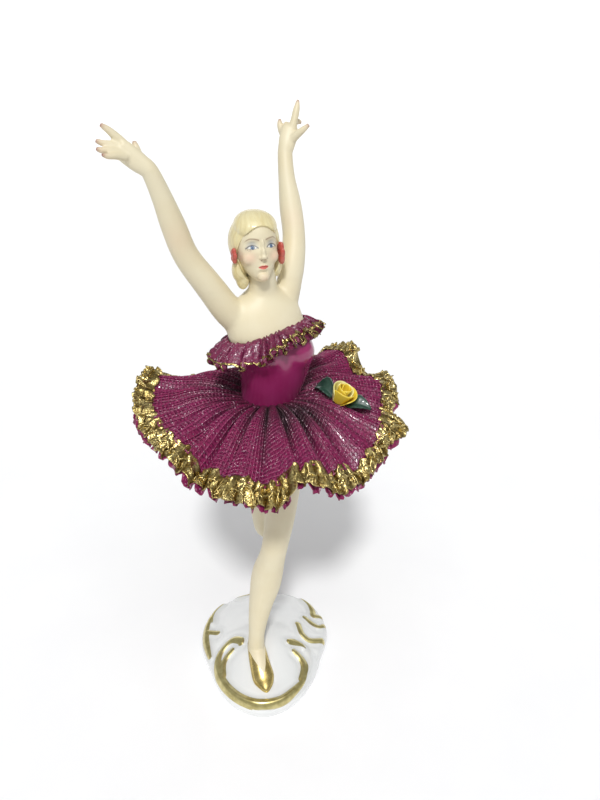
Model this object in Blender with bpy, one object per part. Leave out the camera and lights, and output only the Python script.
"""Porcelain ballerina figurine in a lace skirt, standing on a scrolled dome base.

Lengths are metres. A viewer in front of the figurine has +X on the right and +Y pointing away, and
+Z is up. The origin is the centre of the base's flat underside.
"""

import math

import bmesh
import bpy
from mathutils import Matrix, Vector

# Base
BASE_REACH = 0.0325  # from the middle to the furthest point of the outline
BASE_HEIGHT = 0.0172
BASE_SHOULDER = 0.0078  # height of the rounded edge where the wall turns into the dome
SCROLL_RELIEF = 0.0008
SCROLL_HALF_WIDTH = 0.0013

# Figure
FIGURE_HEIGHT = 0.2155  # ball of the standing foot to the highest fingertip
STAND_X = 0.0006  # where the ball of the foot stands on the base
STAND_Y = -0.0205

# Lace
LACE_THICKNESS = 0.0009
LACE_CLEARANCE = 0.0009  # between the skirt's edge and the waist
COLLAR_CLEARANCE = 0.0014  # between the collar's edge and the chest
SKIRT_REACH = 0.0395  # skirt's own rim, from the waist's centre line
FRILL_WIDTH = 0.0072
LAYER_GAP = 0.0007  # between the skirt and the underskirt at the waist
RIM_LAYER_GAP = 0.0021  # the same below the frill, where the ruffles are deep
COLLAR_HEIGHT = 0.0068
COLLAR_FLARE = 0.0056
PLEAT_DEPTH = 0.0010
SKIRT_PUFF = 0.0016  # the skirt swells up between the waist and its rim
FRILL_DEPTH = 0.0011
FRILL_SWELL = 0.0022  # the frill reaches further out at one lobe
UNDERSKIRT_INSET = 0.0012  # the underskirt ends this far inside the frill's edge
PLEATS = 26
FRILL_WAVES = 64
COLLAR_WAVES = 20

# Rose
ROSE_RADIUS = 0.0042
ROSE_HEIGHT = 0.0060
LEAF_LENGTH = 0.0080
LEAF_WIDTH = 0.0042
LEAF_THICKNESS = 0.0008
LEAF_FOLD = 0.0011  # the leaf's edges rise above its midrib
LEAF_ARCH = 0.0009  # and its middle rises above its ends
REST_GAP = 0.0003  # left between a piece and what it rests on

# One figure unit is a millimetre of a figure of this height in the same units
FIGURE_UNITS = 215.5
UNIT = FIGURE_HEIGHT / FIGURE_UNITS
TORSO_YAW = math.radians(20)  # the chest turns to the figure's left
HEAD_YAW = math.radians(22)  # and the face a little more
HEAD_BACK = math.radians(10)  # the face lifts

SKIN = (0.80, 0.72, 0.52)
MAGENTA = (0.32, 0.035, 0.17)
GOLD = (0.62, 0.45, 0.12)
WHITE = (0.86, 0.87, 0.86)
YELLOW = (0.86, 0.66, 0.06)
GREEN = (0.05, 0.12, 0.08)


def clear_scene():
    for obj in list(bpy.data.objects):
        bpy.data.objects.remove(obj, do_unlink=True)


def material(name, colour, roughness, metallic=0.0):
    made = bpy.data.materials.new(name)
    made.use_nodes = True
    shader = made.node_tree.nodes["Principled BSDF"]
    shader.inputs["Base Color"].default_value = (*colour, 1.0)
    shader.inputs["Roughness"].default_value = roughness
    shader.inputs["Metallic"].default_value = metallic
    return made


def add_object(name, shape, finish):
    """Turns a bmesh into a named object with one material."""
    mesh = bpy.data.meshes.new(name)
    bmesh.ops.recalc_face_normals(shape, faces=shape.faces)
    shape.to_mesh(mesh)
    shape.free()
    mesh.materials.append(finish)
    obj = bpy.data.objects.new(name, mesh)
    bpy.context.collection.objects.link(obj)
    mesh.shade_smooth()
    mesh.set_sharp_from_angle(angle=math.radians(40))
    return obj


def blend(low, high, share):
    return low + (high - low) * share


def smooth_rows(rows, steps):
    """Rows of numbers, with steps - 1 more between each two on a Catmull-Rom curve."""
    made = []
    for i in range(len(rows) - 1):
        a = rows[max(i - 1, 0)]
        b = rows[i]
        c = rows[i + 1]
        d = rows[min(i + 2, len(rows) - 1)]
        for k in range(steps):
            t = k / steps
            made.append(
                [
                    0.5
                    * (
                        2 * q
                        + (r - p) * t
                        + (2 * p - 5 * q + 4 * r - s) * t * t
                        + (3 * q - p - 3 * r + s) * t**3
                    )
                    for p, q, r, s in zip(a, b, c, d)
                ]
            )
    made.append(list(rows[-1]))
    return made


# The base


# The outline seen from above: angle in degrees and share of the reach. A narrower front lobe meets the
# broad back at two shallow notches.
OUTLINE = (
    (0, 0.79),
    (16, 0.88),
    (32, 0.94),
    (47, 0.98),
    (70, 1.0),
    (90, 0.98),
    (112, 0.99),
    (137, 1.0),
    (155, 0.96),
    (172, 0.89),
    (190, 0.81),
    (204, 0.78),
    (218, 0.80),
    (236, 0.86),
    (254, 0.92),
    (269, 0.955),
    (284, 0.93),
    (300, 0.87),
    (320, 0.80),
    (345, 0.755),
)


def base_outline(angle):
    """Radius of the base's widest edge at an angle."""
    degrees = math.degrees(angle) % 360
    count = len(OUTLINE)
    for i in range(count):
        low = OUTLINE[i]
        high = OUTLINE[(i + 1) % count]
        span = (high[0] - low[0]) % 360
        past = (degrees - low[0]) % 360
        if past <= span:
            before = OUTLINE[i - 1][1]
            after = OUTLINE[(i + 2) % count][1]
            t = past / span
            curve = 2 * low[1] + (high[1] - before) * t
            curve += (2 * before - 5 * low[1] + 4 * high[1] - after) * t * t
            curve += (3 * low[1] - before - 3 * high[1] + after) * t**3
            return BASE_REACH * curve / 2
    return BASE_REACH * OUTLINE[0][1]


# The base's profile from its foot to the middle: share of the outline, then height as a share of the
# shoulder, then as a share of what the dome rises above the shoulder.
PROFILE = (
    (0.93, 0.0, 0.0),
    (0.985, 0.25, 0.0),
    (1.0, 0.54, 0.0),
    (0.985, 0.82, 0.0),
    (0.94, 1.0, 0.0),
    (0.86, 1.0, 0.07),
    (0.74, 1.0, 0.17),
    (0.60, 1.0, 0.37),
    (0.45, 1.0, 0.62),
    (0.30, 1.0, 0.84),
    (0.15, 1.0, 0.97),
)

# Scroll lines: angle in degrees and share of the outline
SCROLLS = (
    (
        (270, 0.94), (255, 0.95), (240, 0.95), (225, 0.95), (210, 0.93),
        (198, 0.84), (188, 0.62), (186, 0.50), (196, 0.42),
    ),
    (
        (270, 0.94), (286, 0.95), (300, 0.95), (314, 0.95), (328, 0.92),
        (341, 0.84), (350, 0.69), (347, 0.49),
    ),
    ((206, 0.62), (212, 0.80), (224, 0.91)),
    ((330, 0.68), (325, 0.85), (315, 0.93)),
    ((196, 0.95), (181, 0.93), (166, 0.93), (155, 0.93), (148, 0.94)),
    ((166, 0.92), (167, 0.74)),
    ((155, 0.87), (144, 0.94), (132, 0.97)),
    ((28, 0.54), (12, 0.58), (3, 0.73), (5, 0.95)),
    ((38, 0.70), (27, 0.77), (21, 0.87), (22, 0.97)),
    ((59, 0.97), (50, 0.95), (42, 0.90), (36, 0.86), (32, 0.97)),
    ((90, 0.94), (104, 0.94), (116, 0.89), (121, 0.76), (113, 0.64)),
    ((90, 0.94), (76, 0.94), (65, 0.89), (60, 0.76), (68, 0.64)),
)


def scroll_lines():
    """Every scroll of the base as a list of points on the ground plane."""
    made = []
    for line in SCROLLS:
        points = []
        for degrees, share in smooth_rows(line, 3):
            angle = math.radians(degrees)
            reach = base_outline(angle) * share
            points.append(Vector((reach * math.cos(angle), reach * math.sin(angle))))
        made.append(points)
    return made


def distance_to_line(point, line):
    nearest = 1.0
    for start, end in zip(line, line[1:]):
        along = end - start
        share = max(0.0, min(1.0, (point - start).dot(along) / max(along.length_squared, 1e-12)))
        nearest = min(nearest, (point - start - along * share).length)
    return nearest


def dome_height(x, y):
    """Height of the base's upper surface above a point, without its scrolls."""
    share = min(math.hypot(x, y) / base_outline(math.atan2(y, x)), PROFILE[4][0])
    rows = [row for row in PROFILE if row[0] <= PROFILE[4][0] and row[1] == 1.0]
    rows.append((0.0, 1.0, 1.0))
    for outer, inner in zip(rows, rows[1:]):
        if inner[0] <= share <= outer[0]:
            rise = blend(inner[2], outer[2], (share - inner[0]) / (outer[0] - inner[0]))
            return BASE_SHOULDER + rise * (BASE_HEIGHT - BASE_SHOULDER)
    return BASE_HEIGHT


def dome_shape(lift):
    """A closed dome turned round the outline, with raised scrolls. Lift moves its upper surface up."""
    columns = 60
    lines = scroll_lines()
    shape = bmesh.new()
    rings = []
    for share, wall, dome in PROFILE:
        ring = []
        for i in range(columns):
            angle = math.tau * i / columns
            reach = base_outline(angle) * share
            point = Vector((reach * math.cos(angle), reach * math.sin(angle)))
            height = wall * BASE_SHOULDER + dome * (BASE_HEIGHT - BASE_SHOULDER)
            if wall > 0.5:
                away = min(distance_to_line(point, line) for line in lines)
                height += SCROLL_RELIEF * math.exp(-((away / SCROLL_HALF_WIDTH) ** 2)) + lift
            ring.append(shape.verts.new((point.x, point.y, height)))
        rings.append(ring)
    for low, high in zip(rings, rings[1:]):
        for i in range(columns):
            k = (i + 1) % columns
            shape.faces.new((low[i], low[k], high[k], high[i]))
    top = shape.verts.new((0, 0, BASE_HEIGHT + lift))
    for i in range(columns):
        shape.faces.new((rings[-1][i], rings[-1][(i + 1) % columns], top))
    shape.faces.new(reversed(rings[0]))
    return shape


def make_sole_cutter():
    """The base raised by the rest gap, which trims the sole of the standing foot to the base's surface."""
    cutter = add_object("sole_cutter", dome_shape(REST_GAP), material("cutter", WHITE, 0.5))
    cutter.hide_render = True
    cutter.display_type = "WIRE"
    return cutter


# The figure, in figure units. x and y are measured from the base's centre, z from the underside of the base
# on the nominal figurine. to_world() moves them on to the ball of the foot.
BALL = Vector((0.6, -20.5, 10.7))

STANDING_LEG = (  # x, y, z, half width, half depth
    (9.5, 1.5, 116, 7.6, 8.0),
    (9.2, 0.5, 106, 7.6, 8.0),
    (8.4, -2.0, 94, 6.8, 7.0),
    (7.4, -4.8, 82, 5.7, 6.0),
    (5.9, -7.4, 73, 5.0, 5.3),
    (4.6, -7.6, 66.5, 5.1, 5.2),
    (2.7, -6.6, 58, 6.0, 5.9),
    (1.5, -6.4, 51, 6.0, 6.1),
    (-0.4, -7.4, 42, 4.9, 5.2),
    (-1.7, -8.4, 34, 4.0, 4.3),
    (-2.6, -9.2, 26, 3.3, 3.6),
    (-3.0, -9.2, 20, 3.4, 3.8),
    (-3.2, -8.6, 16, 3.2, 3.4),
)
STANDING_FOOT = (
    (-4.0, -4.3, 17.6, 1.6, 1.8),
    (-3.7, -6.0, 17.2, 3.2, 3.4),
    (-2.8, -10.0, 16.4, 3.8, 4.4),
    (-1.4, -15.0, 14.2, 4.2, 3.9),
    (0.2, -19.5, 11.8, 4.5, 3.0),
    (1.1, -22.0, 10.4, 3.5, 2.2),
    (1.6, -24.2, 9.5, 1.6, 1.3),
    (1.7, -25.0, 9.2, 0.5, 0.5),
)
FREE_LEG = (
    (1.0, 2.5, 116, 7.4, 8.0),
    (0.6, 3.2, 106, 7.4, 8.0),
    (1.2, 3.0, 94, 6.6, 7.0),
    (1.9, 2.4, 82, 5.7, 6.0),
    (2.4, 2.8, 73.8, 5.1, 5.2),
    (2.8, 8.5, 70.6, 4.9, 4.9),
    (3.3, 17, 71.6, 5.3, 5.6),
    (4.0, 27, 74.8, 4.6, 4.9),
    (4.6, 36, 79.0, 3.4, 3.6),
    (5.0, 42, 81.5, 3.1, 3.4),
)
FREE_FOOT = (
    (4.9, 38.6, 78.0, 1.6, 1.8),
    (5.0, 41.5, 80.0, 3.2, 3.5),
    (5.2, 46.5, 83.6, 3.9, 3.6),
    (5.3, 52.0, 87.4, 4.0, 3.0),
    (5.3, 57.0, 90.4, 3.0, 2.4),
    (5.3, 60.2, 92.2, 1.4, 1.3),
    (5.3, 61.2, 92.8, 0.5, 0.5),
)
TORSO = (
    (5.0, 2.2, 103, 5.0, 5.0),
    (5.2, 2.2, 108, 11.0, 9.0),
    (5.3, 2.0, 115, 13.2, 10.4),
    (4.9, 1.4, 123, 11.6, 9.6),
    (4.7, 0.6, 131, 9.9, 8.7),
    (5.9, 0.2, 140, 11.3, 9.4),
    (7.3, -0.2, 150, 12.8, 10.0),
    (4.2, 0.2, 158, 13.0, 8.8),
    (3.6, 1.2, 164, 12.2, 7.4),
    (3.5, 2.0, 168.5, 8.6, 5.8),
    (3.5, 2.0, 171.5, 4.9, 4.9),
    (3.3, 1.4, 175.5, 4.4, 4.7),
    (2.9, 1.4, 182, 4.2, 4.6),
)
RIGHT_ARM = (
    (-2.9, -0.6, 160.6, 4.8, 4.8),
    (-7.2, -2.6, 165.2, 5.0, 5.0),
    (-13.2, -5.0, 175.4, 4.4, 4.5),
    (-18.6, -7.0, 184.8, 3.9, 4.0),
    (-21.3, -8.5, 194.0, 3.7, 3.7),
    (-23.4, -10.0, 202.2, 3.0, 3.0),
    (-25.7, -11.5, 209.6, 2.5, 2.3),
    (-27.6, -11.8, 211.9, 2.4, 2.1),
)
LEFT_ARM = (
    (7.8, 3.6, 160, 4.4, 4.6),
    (10.5, 6.0, 166.0, 4.3, 4.6),
    (12.7, 10.0, 176.8, 4.1, 4.3),
    (13.3, 14.0, 185.0, 3.7, 3.8),
    (12.2, 18.0, 193.8, 3.6, 3.6),
    (11.0, 21.0, 202.0, 2.7, 2.8),
    (10.5, 23.8, 209.0, 2.4, 2.3),
    (10.9, 24.6, 211.6, 2.4, 2.1),
)
# Hands: the palm from wrist to knuckles, then each finger from knuckle to tip
RIGHT_PALM = (
    (-25.6, -11.6, 210.0, 2.2, 2.3), (-28.4, -12.0, 212.2, 2.8, 2.1),
    (-31.6, -12.4, 215.0, 2.9, 1.8), (-33.2, -12.8, 216.6, 2.4, 1.4),
)
RIGHT_FINGERS = (
    (
        (-31.0, -12.0, 215.8, 1.5, 1.4), (-33.0, -12.2, 218.2, 1.3, 1.2),
        (-35.2, -13.0, 220.6, 1.0, 1.0), (-36.9, -14.0, 222.1, 0.6, 0.6),
    ),
    (
        (-31.8, -12.8, 215.2, 1.4, 1.3), (-34.4, -13.4, 216.9, 1.1, 1.1),
        (-36.6, -14.4, 217.5, 0.9, 0.9), (-38.4, -15.2, 218.3, 0.6, 0.6),
    ),
    (
        (-31.6, -13.4, 214.4, 1.4, 1.3), (-34.2, -14.8, 215.6, 1.1, 1.1),
        (-36.6, -16.2, 216.0, 0.9, 0.9), (-38.0, -17.0, 216.6, 0.6, 0.6),
    ),
    (
        (-31.2, -14.0, 213.8, 1.2, 1.1), (-33.2, -16.0, 214.6, 1.0, 1.0),
        (-35.0, -17.8, 214.8, 0.8, 0.8), (-36.2, -18.8, 215.4, 0.5, 0.5),
    ),
    (
        (-27.2, -10.6, 211.6, 1.4, 1.4), (-28.8, -9.6, 214.0, 1.2, 1.2),
        (-29.4, -9.0, 215.8, 1.0, 1.0), (-29.9, -8.6, 217.3, 0.6, 0.6),
    ),
)
LEFT_PALM = (
    (10.5, 23.8, 209.0, 2.2, 2.3), (11.2, 24.8, 212.2, 2.8, 2.0),
    (11.9, 26.4, 215.2, 2.8, 1.8), (12.1, 27.4, 216.8, 2.3, 1.4),
)
LEFT_FINGERS = (
    (
        (12.7, 26.2, 215.8, 1.5, 1.3), (13.5, 27.0, 218.6, 1.2, 1.2),
        (14.2, 28.0, 221.6, 1.1, 1.0), (14.7, 29.0, 224.2, 0.5, 0.5),
    ),
    (
        (12.4, 27.2, 215.8, 1.3, 1.2), (13.0, 29.4, 217.2, 1.1, 1.1),
        (14.4, 31.0, 217.6, 1.0, 1.0), (15.8, 31.4, 217.2, 0.6, 0.6),
    ),
    (
        (11.2, 27.4, 215.4, 1.3, 1.2), (10.9, 29.8, 216.6, 1.1, 1.1),
        (11.0, 31.8, 216.4, 0.9, 0.9), (11.4, 32.8, 215.4, 0.6, 0.6),
    ),
    (
        (10.2, 26.8, 213.6, 1.3, 1.2), (9.2, 28.0, 215.6, 1.1, 1.1),
        (8.8, 28.8, 217.2, 0.9, 0.9), (8.8, 29.2, 218.6, 0.5, 0.5),
    ),
    (
        (12.2, 24.6, 212.4, 1.5, 1.4), (14.2, 23.8, 214.4, 1.3, 1.2),
        (16.4, 23.2, 216.2, 1.0, 1.0), (18.1, 23.0, 217.6, 0.6, 0.6),
    ),
)

HEAD_CENTRE = Vector((1.6, 1.0, 185.7))
HEAD = (  # right, forward and up from the head's centre, then half width and half depth, chin to crown
    (0, 5.3, -9.2, 1.4, 1.4),
    (0, 4.5, -8.6, 2.7, 2.8),
    (0, 3.1, -7.0, 4.2, 4.4),
    (0, 1.8, -4.8, 5.4, 5.7),
    (0, 1.0, -2.4, 6.2, 6.4),
    (0, 0.6, 0.0, 6.5, 6.5),
    (0, 0.3, 2.4, 6.4, 7.1),
    (0, 0.2, 5.0, 6.0, 6.9),
    (0, 0.0, 7.6, 4.6, 5.7),
    (0, -0.1, 9.4, 2.4, 3.0),
)
HAIR_LUMPS = (  # right, forward and up from the head's centre, then half width, half depth and half height
    (0, -1.6, 1.2, 8.0, 8.0, 9.0),
    (0, 0.8, 5.6, 6.6, 6.6, 4.5),
    (-5.5, -0.8, -6.8, 2.7, 3.2, 3.9),
    (5.5, -0.8, -6.8, 2.7, 3.2, 3.9),
    (0, -4.8, -6.2, 5.8, 3.4, 4.2),
    (-7.7, 2.0, -2.2, 1.2, 1.9, 2.5),
    (8.0, 2.8, -2.8, 1.4, 2.3, 3.4),
)
NOSE = (0, 7.6, -1.6, 0.9, 1.1, 2.2)
BREASTS = ((-4.8, 5.2, 151.0), (5.2, 5.2, 151.0))
BREAST_SIZE = (6.4, 6.0, 6.8)

VOXEL = 0.55  # figure units
KEPT_FACES = 0.0298  # share of the voxel mesh's faces that the faceted solid keeps


def to_world(point):
    """A point of the figure in metres, with the ball of its foot on the base."""
    foot = Vector((STAND_X, STAND_Y, dome_height(STAND_X, STAND_Y) + REST_GAP))
    return foot + (Vector(point) - BALL) * UNIT


def turned_axes(yaw, back=0.0):
    """Right, forward and up of a body part turned by yaw and leaning back."""
    right = Vector((math.cos(yaw), math.sin(yaw), 0))
    level = Vector((math.sin(yaw), -math.cos(yaw), 0))
    forward = level * math.cos(back) + Vector((0, 0, math.sin(back)))
    up = right.cross(-forward)
    return right, forward, -up if up.z < 0 else up


def add_limb(shape, stations, across, sides=14, steps=4):
    """Lofts a closed tube of oval rings through the stations, each ring square to the path."""
    rows = smooth_rows(stations, steps)
    centres = [to_world(row[:3]) for row in rows]
    rings = []
    for i, row in enumerate(rows):
        before = centres[max(i - 1, 0)]
        after = centres[min(i + 1, len(rows) - 1)]
        along = (after - before).normalized()
        side = (across - along * across.dot(along)).normalized()
        front = along.cross(side)
        ring = []
        for k in range(sides):
            turn = math.tau * k / sides
            offset = side * (row[3] * math.cos(turn)) + front * (row[4] * math.sin(turn))
            ring.append(shape.verts.new(centres[i] + offset * UNIT))
        rings.append(ring)
    for low, high in zip(rings, rings[1:]):
        for k in range(sides):
            m = (k + 1) % sides
            shape.faces.new((low[k], low[m], high[m], high[k]))
    shape.faces.new(reversed(rings[0]))
    shape.faces.new(rings[-1])


def add_lump(shape, centre, axes, sizes):
    """Adds an ellipsoid with its half sizes along three axes."""
    turn = Matrix([axes[0], axes[1], axes[2]]).transposed().to_4x4()
    size = Matrix.Diagonal((*[s * UNIT for s in sizes], 1.0))
    matrix = Matrix.Translation(to_world(centre)) @ turn @ size
    bmesh.ops.create_icosphere(shape, subdivisions=3, radius=1.0, matrix=matrix)


def make_figure(finish, sole_cutter):
    """The dancer: limbs, torso, head and hair fused into one skin, with the sole cut to the base."""
    shape = bmesh.new()
    level = Vector((1, 0, 0))
    chest = turned_axes(TORSO_YAW)
    for stations in (STANDING_LEG, FREE_LEG, STANDING_FOOT, FREE_FOOT, RIGHT_ARM):
        add_limb(shape, stations, level)
    add_limb(shape, LEFT_ARM, level)
    add_limb(shape, TORSO, chest[0], sides=20)
    for x, forward, z in BREASTS:
        centre = Vector((TORSO[6][0], TORSO[6][1], z)) + chest[0] * x + chest[1] * forward
        add_lump(shape, centre, chest, BREAST_SIZE)
    # The right palm faces the viewer, with its width square to the hand's path
    for palm, fingers in ((RIGHT_PALM, RIGHT_FINGERS), (LEFT_PALM, LEFT_FINGERS)):
        width = Vector((0.6, 0, 0.8)) if palm is RIGHT_PALM else level
        add_limb(shape, palm, width)
        for finger in fingers:
            add_limb(shape, finger, width, sides=10, steps=3)
    right, forward, up = turned_axes(HEAD_YAW, HEAD_BACK)
    skull = []
    for x, y, z, wide, deep in HEAD:
        centre = HEAD_CENTRE + right * x + forward * y + up * z
        skull.append((*centre, wide, deep))
    add_limb(shape, skull, right, sides=20)
    for x, y, z, wide, deep, high in HAIR_LUMPS + (NOSE,):
        centre = HEAD_CENTRE + right * x + forward * y + up * z
        add_lump(shape, centre, (right, forward, up), (wide, deep, high))
    figure = add_object("figure", shape, finish)
    remesh = figure.modifiers.new("fused_skin", "REMESH")
    remesh.mode = "VOXEL"
    remesh.voxel_size = VOXEL * UNIT
    remesh.use_smooth_shade = True
    relax = figure.modifiers.new("softened", "SMOOTH")
    relax.factor = 0.5
    relax.iterations = 3
    facets = figure.modifiers.new("facets", "DECIMATE")
    facets.ratio = KEPT_FACES
    sole = figure.modifiers.new("sole", "BOOLEAN")
    sole.operation = "DIFFERENCE"
    sole.solver = "EXACT"
    sole.object = sole_cutter
    return figure


# The lace, which hugs the torso


def torso_at(height):
    """Centre and half sizes of the torso at a height in figure units, in metres."""
    rows = smooth_rows(TORSO, 8)
    for low, high in zip(rows, rows[1:]):
        if low[2] <= height <= high[2]:
            share = (height - low[2]) / (high[2] - low[2])
            row = [blend(a, b, share) for a, b in zip(low, high)]
            return to_world(row[:3]), row[3] * UNIT, row[4] * UNIT
    raise ValueError("the torso doesn't reach that height")


def torso_edge(angle, height, gap):
    """The point round the torso at a world angle and a height, a gap outside its skin."""
    centre, wide, deep = torso_at(height)
    turn = angle - TORSO_YAW
    wide += gap
    deep += gap
    reach = wide * deep / math.hypot(deep * math.cos(turn), wide * math.sin(turn))
    return centre + Vector((reach * math.cos(angle), reach * math.sin(angle), 0))


SKIRT_TOP = 133.5  # figure units: where the lace leaves the waist
SKIRT_ROWS = (0.0, 0.45, 1.0)  # shares from the waist to the rim
# The rim's waves: angle in degrees, then the height of the lace's rim and of the frill's outer edge, in
# figure units from where the skirt leaves the waist
RIM = (
    (0, -2.5, -4.0),
    (20, -1.0, -1.0),
    (36, -3.0, -2.5),
    (48, 2.0, 3.5),
    (58, -0.5, 0.5),
    (75, -6.5, -11.5),
    (95, -9.5, -14.0),
    (125, -10.5, -14.0),
    (145, -7.5, -10.0),
    (160, -2.0, -0.5),
    (172, 2.5, 4.5),
    (186, -1.0, 2.5),
    (203, 0.5, 1.0),
    (214, 0.5, -1.5),
    (228, 0.0, -3.0),
    (243, -7.8, -8.5),
    (255, -6.5, -11.5),
    (268, -8.2, -12.8),
    (276, -9.0, -13.0),
    (283, -2.5, -5.0),
    (291, -4.0, -8.0),
    (301, -8.2, -13.0),
    (315, -10.5, -13.5),
    (327, -7.5, -11.5),
    (339, -2.5, -6.0),
    (350, -3.0, -4.5),
)
SWELL_ANGLE = 345  # degrees, where the frill reaches furthest out
SWELL_WIDTH = 12  # degrees, half of that lobe's width
FRILL_STARTS = 0.8  # share of the underskirt's own width that lies under the skirt


def rim_heights(angle):
    """Heights of the lace's rim and of the frill's outer edge at an angle, in metres from the waist."""
    degrees = math.degrees(angle) % 360
    rows = list(RIM) + [(RIM[0][0] + 360, RIM[0][1], RIM[0][2])]
    for low, high in zip(rows, rows[1:]):
        if low[0] <= degrees <= high[0]:
            share = (degrees - low[0]) / (high[0] - low[0])
            share = share * share * (3 - 2 * share)
            return blend(low[1], high[1], share) * UNIT, blend(low[2], high[2], share) * UNIT
    return RIM[0][1] * UNIT, RIM[0][2] * UNIT


def skirt_point(angle, share):
    """A point in the middle of the skirt's lace: share is 0 at the waist and 1 at its rim."""
    inner = torso_edge(angle, SKIRT_TOP, LACE_CLEARANCE)
    centre = torso_at(SKIRT_TOP)[0]
    outer = centre + Vector((math.cos(angle), math.sin(angle), 0)) * SKIRT_REACH
    point = inner.lerp(outer, share)
    puff = SKIRT_PUFF * math.sin(math.pi * min(1.0, share * 1.3))
    pleat = PLEAT_DEPTH * math.sin(PLEATS * angle) * min(1.0, 0.25 + share)
    point.z = centre.z + rim_heights(angle)[0] * share**1.7 + puff + pleat
    return point


def crests(waves, columns_per_wave):
    """Angles round the figurine that take in each wave's crest and trough."""
    columns = waves * columns_per_wave
    return [math.tau * (i + columns_per_wave / 4) / columns for i in range(columns)]


def add_lace(name, finish, angles, rows, point_at):
    """A closed band of lace: point_at(angle, share) is its middle, and its thickness is upright."""
    half = LACE_THICKNESS / 2
    columns = len(angles)
    shape = bmesh.new()
    upper = []
    lower = []
    for share in rows:
        points = [point_at(angle, share) for angle in angles]
        upper.append([shape.verts.new(p + Vector((0, 0, half))) for p in points])
        lower.append([shape.verts.new(p - Vector((0, 0, half))) for p in points])
    for i in range(columns):
        k = (i + 1) % columns
        for row in range(len(rows) - 1):
            shape.faces.new((upper[row][i], upper[row + 1][i], upper[row + 1][k], upper[row][k]))
            shape.faces.new((lower[row][i], lower[row][k], lower[row + 1][k], lower[row + 1][i]))
        shape.faces.new((upper[0][i], upper[0][k], lower[0][k], lower[0][i]))
        shape.faces.new((upper[-1][i], lower[-1][i], lower[-1][k], upper[-1][k]))
    return add_object(name, shape, finish)


def frill_reach(angle):
    """How far the frill stands out from the skirt's rim."""
    away = (math.degrees(angle) - SWELL_ANGLE + 180) % 360 - 180
    return FRILL_WIDTH + FRILL_SWELL * math.exp(-((away / SWELL_WIDTH) ** 2))


def frill_point(angle, share):
    """The gold frill: it goes on from the skirt's rim in tight ruffles."""
    inner = skirt_point(angle, 1.0)
    out = Vector((math.cos(angle), math.sin(angle), 0))
    point = inner + out * blend(REST_GAP, frill_reach(angle), share)
    lace, edge = rim_heights(angle)
    pleat = inner.z - torso_at(SKIRT_TOP)[0].z - lace
    point.z += (edge - lace - pleat) * share + FRILL_DEPTH * math.sin(FRILL_WAVES * angle) * share
    return point


def underskirt_point(angle, share):
    """The underskirt: the skirt's shape lower down, with a rim that shows below the frill."""
    flat = min(share / FRILL_STARTS, 1.0)
    point = skirt_point(angle, flat)
    point.z -= LACE_THICKNESS + blend(LAYER_GAP, RIM_LAYER_GAP, flat)
    if share > FRILL_STARTS:
        past = (share - FRILL_STARTS) / (1 - FRILL_STARTS)
        out = Vector((math.cos(angle), math.sin(angle), 0))
        point += out * (past * (frill_reach(angle) - UNDERSKIRT_INSET))
        lace, edge = rim_heights(angle)
        pleat = skirt_point(angle, 1.0).z - torso_at(SKIRT_TOP)[0].z - lace
        point.z += (edge - lace - pleat) * past
    return point


# The collar's top ring hugs the chest. It is lower at the figure's right side and higher in front.
COLLAR_TOP = 158.4
COLLAR_TILT = math.radians(12)
COLLAR_FRONT_LIFT = math.radians(6)


def collar_point(angle, share):
    """The collar: a lace band from the chest out and down, in waves."""
    centre, wide, deep = torso_at(COLLAR_TOP)
    lift = math.cos(angle) * wide * math.tan(COLLAR_TILT)
    lift -= math.sin(angle) * deep * math.tan(COLLAR_FRONT_LIFT)
    top = torso_edge(angle, COLLAR_TOP + lift / UNIT, COLLAR_CLEARANCE)
    out = Vector((math.cos(angle), math.sin(angle), 0))
    wave = math.sin(COLLAR_WAVES * angle) * share
    point = top + out * (COLLAR_FLARE * share**0.8 * (1 + 0.14 * wave))
    point.z -= COLLAR_HEIGHT * share**1.3 * (1 + 0.10 * wave)
    return point


def make_collar(finish):
    """The collar's band has its thickness level, because it hangs steeply."""
    angles = crests(COLLAR_WAVES, 2)
    columns = len(angles)
    shape = bmesh.new()
    outer = []
    inner = []
    for share in (0.0, 0.45, 1.0):
        ring_out = []
        ring_in = []
        for angle in angles:
            out = Vector((math.cos(angle), math.sin(angle), 0))
            point = collar_point(angle, share)
            ring_in.append(shape.verts.new(point))
            ring_out.append(shape.verts.new(point + out * LACE_THICKNESS))
        outer.append(ring_out)
        inner.append(ring_in)
    for i in range(columns):
        k = (i + 1) % columns
        for row in range(2):
            shape.faces.new((outer[row][i], outer[row + 1][i], outer[row + 1][k], outer[row][k]))
            shape.faces.new((inner[row][i], inner[row][k], inner[row + 1][k], inner[row + 1][i]))
        shape.faces.new((outer[0][i], outer[0][k], inner[0][k], inner[0][i]))
        shape.faces.new((outer[2][i], inner[2][i], inner[2][k], outer[2][k]))
    return add_object("collar", shape, finish)


# The rose and its leaves, on the skirt to the viewer's right
ROSE_ANGLE = math.radians(-13)
ROSE_SHARE = 0.54


def skirt_surface(place):
    """Height of the skirt's upper face, as lofted between its rows, over a place."""
    away = place - torso_at(SKIRT_TOP)[0]
    angle = math.atan2(away.y, away.x)
    inner = math.hypot(*(torso_edge(angle, SKIRT_TOP, LACE_CLEARANCE) - torso_at(SKIRT_TOP)[0]).xy)
    share = (math.hypot(away.x, away.y) - inner) / (SKIRT_REACH - inner)
    for low, high in zip(SKIRT_ROWS, SKIRT_ROWS[1:]):
        if share <= high:
            break
    between = (share - low) / (high - low)
    return blend(skirt_point(angle, low).z, skirt_point(angle, high).z, between) + LACE_THICKNESS / 2


def skirt_top_over(place, reach):
    """The highest that the skirt's upper face comes within reach of a place on it."""
    heights = [skirt_surface(place)]
    for i in range(12):
        turn = math.tau * i / 12
        for part in (0.5, 1.0):
            offset = Vector((math.cos(turn), math.sin(turn), 0)) * reach * part
            heights.append(skirt_surface(place + offset))
    return max(heights)


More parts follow.
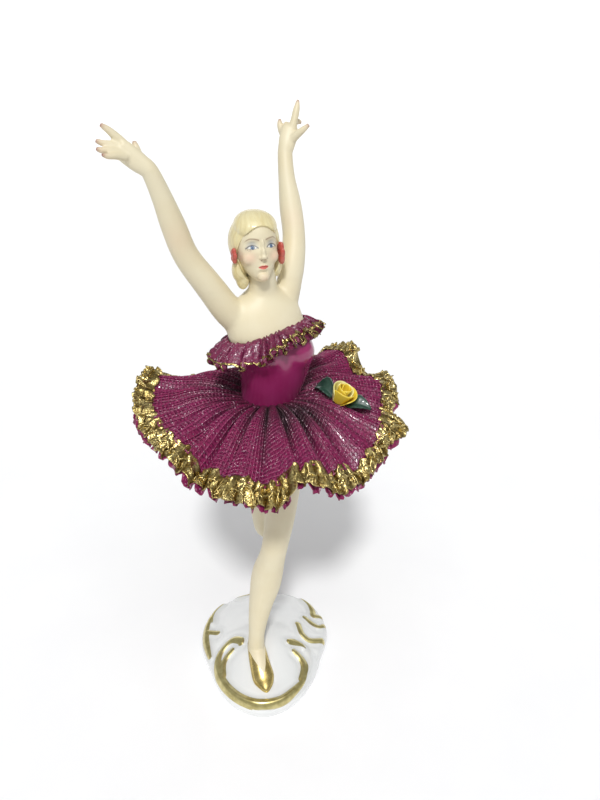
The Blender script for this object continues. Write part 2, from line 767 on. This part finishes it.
def make_rose(finish):
    """A rose rolled from strips: a spiral rim that steps round a bud, on a rounded cup."""
    centre = skirt_point(ROSE_ANGLE, ROSE_SHARE)
    floor = skirt_top_over(centre, ROSE_RADIUS * 0.6) + REST_GAP
    columns = 16
    rows = (
        (0.45, 0.0), (0.85, 0.22), (1.0, 0.55), (0.92, 0.85), (0.80, 0.88),
        (0.72, 0.70), (0.55, 0.96), (0.44, 0.98), (0.36, 0.80), (0.20, 1.0),
    )
    shape = bmesh.new()
    rings = []
    for reach, rise in rows:
        ring = []
        for i in range(columns):
            angle = math.tau * i / columns
            petal = 1 + 0.10 * math.cos(3 * angle + reach * 9)
            out = ROSE_RADIUS * reach * petal
            x = centre.x + out * math.cos(angle)
            y = centre.y + out * math.sin(angle)
            ring.append(shape.verts.new((x, y, floor + ROSE_HEIGHT * rise)))
        rings.append(ring)
    for low, high in zip(rings, rings[1:]):
        for i in range(columns):
            k = (i + 1) % columns
            shape.faces.new((low[i], low[k], high[k], high[i]))
    shape.faces.new(reversed(rings[0]))
    shape.faces.new(rings[-1])
    return add_object("rose", shape, finish)


def make_leaf(name, heading, finish):
    """A folded leaf beside the rose, tip outwards along its heading."""
    rose = skirt_point(ROSE_ANGLE, ROSE_SHARE)
    out = Vector((math.cos(heading), math.sin(heading), 0))
    side = Vector((-out.y, out.x, 0))
    root = rose + out * (ROSE_RADIUS * 1.12 + REST_GAP)
    near = skirt_top_over(root + out * (LEAF_LENGTH * 0.15), LEAF_WIDTH / 2) + REST_GAP
    far = skirt_top_over(root + out * (LEAF_LENGTH * 0.75), LEAF_WIDTH / 2) + REST_GAP
    shape = bmesh.new()
    upper = []
    lower = []
    for along, width in ((0.0, 0.28), (0.22, 0.8), (0.48, 1.0), (0.75, 0.7), (1.0, 0.10)):
        row_up = []
        row_down = []
        for across in (-1, -0.5, 0, 0.5, 1):
            place = root + out * (LEAF_LENGTH * along) + side * (LEAF_WIDTH / 2 * width * across)
            fold = LEAF_FOLD * abs(across) * width + LEAF_ARCH * math.sin(math.pi * along)
            place.z = blend(near, far, along) + fold
            row_down.append(shape.verts.new(place))
            row_up.append(shape.verts.new(place + Vector((0, 0, LEAF_THICKNESS))))
        upper.append(row_up)
        lower.append(row_down)
    last = len(upper) - 1
    for i in range(last):
        for k in range(4):
            shape.faces.new((upper[i][k], upper[i + 1][k], upper[i + 1][k + 1], upper[i][k + 1]))
            shape.faces.new((lower[i][k], lower[i][k + 1], lower[i + 1][k + 1], lower[i + 1][k]))
        shape.faces.new((upper[i][0], lower[i][0], lower[i + 1][0], upper[i + 1][0]))
        shape.faces.new((upper[i][4], upper[i + 1][4], lower[i + 1][4], lower[i][4]))
    for k in range(4):
        shape.faces.new((upper[0][k], upper[0][k + 1], lower[0][k + 1], lower[0][k]))
        shape.faces.new((upper[last][k], lower[last][k], lower[last][k + 1], upper[last][k + 1]))
    return add_object(name, shape, finish)


def main():
    clear_scene()
    glaze = material("white_glaze", WHITE, 0.12)
    skin = material("bisque_skin", SKIN, 0.45)
    lace = material("magenta_lace", MAGENTA, 0.35)
    gold = material("gold", GOLD, 0.3, 0.9)
    add_object("base", dome_shape(0.0), glaze)
    make_figure(skin, make_sole_cutter())
    add_lace("skirt", lace, crests(PLEATS, 4), SKIRT_ROWS, skirt_point)
    add_lace("underskirt", lace, crests(PLEATS, 4), (0.0, FRILL_STARTS, 1.0), underskirt_point)
    add_lace("gold_frill", gold, crests(FRILL_WAVES, 2), (0.0, 1.0), frill_point)
    make_collar(lace)
    make_rose(material("yellow_glaze", YELLOW, 0.2))
    leaf = material("green_glaze", GREEN, 0.25)
    make_leaf("left_leaf", math.radians(145), leaf)
    make_leaf("right_leaf", math.radians(-10), leaf)


main()
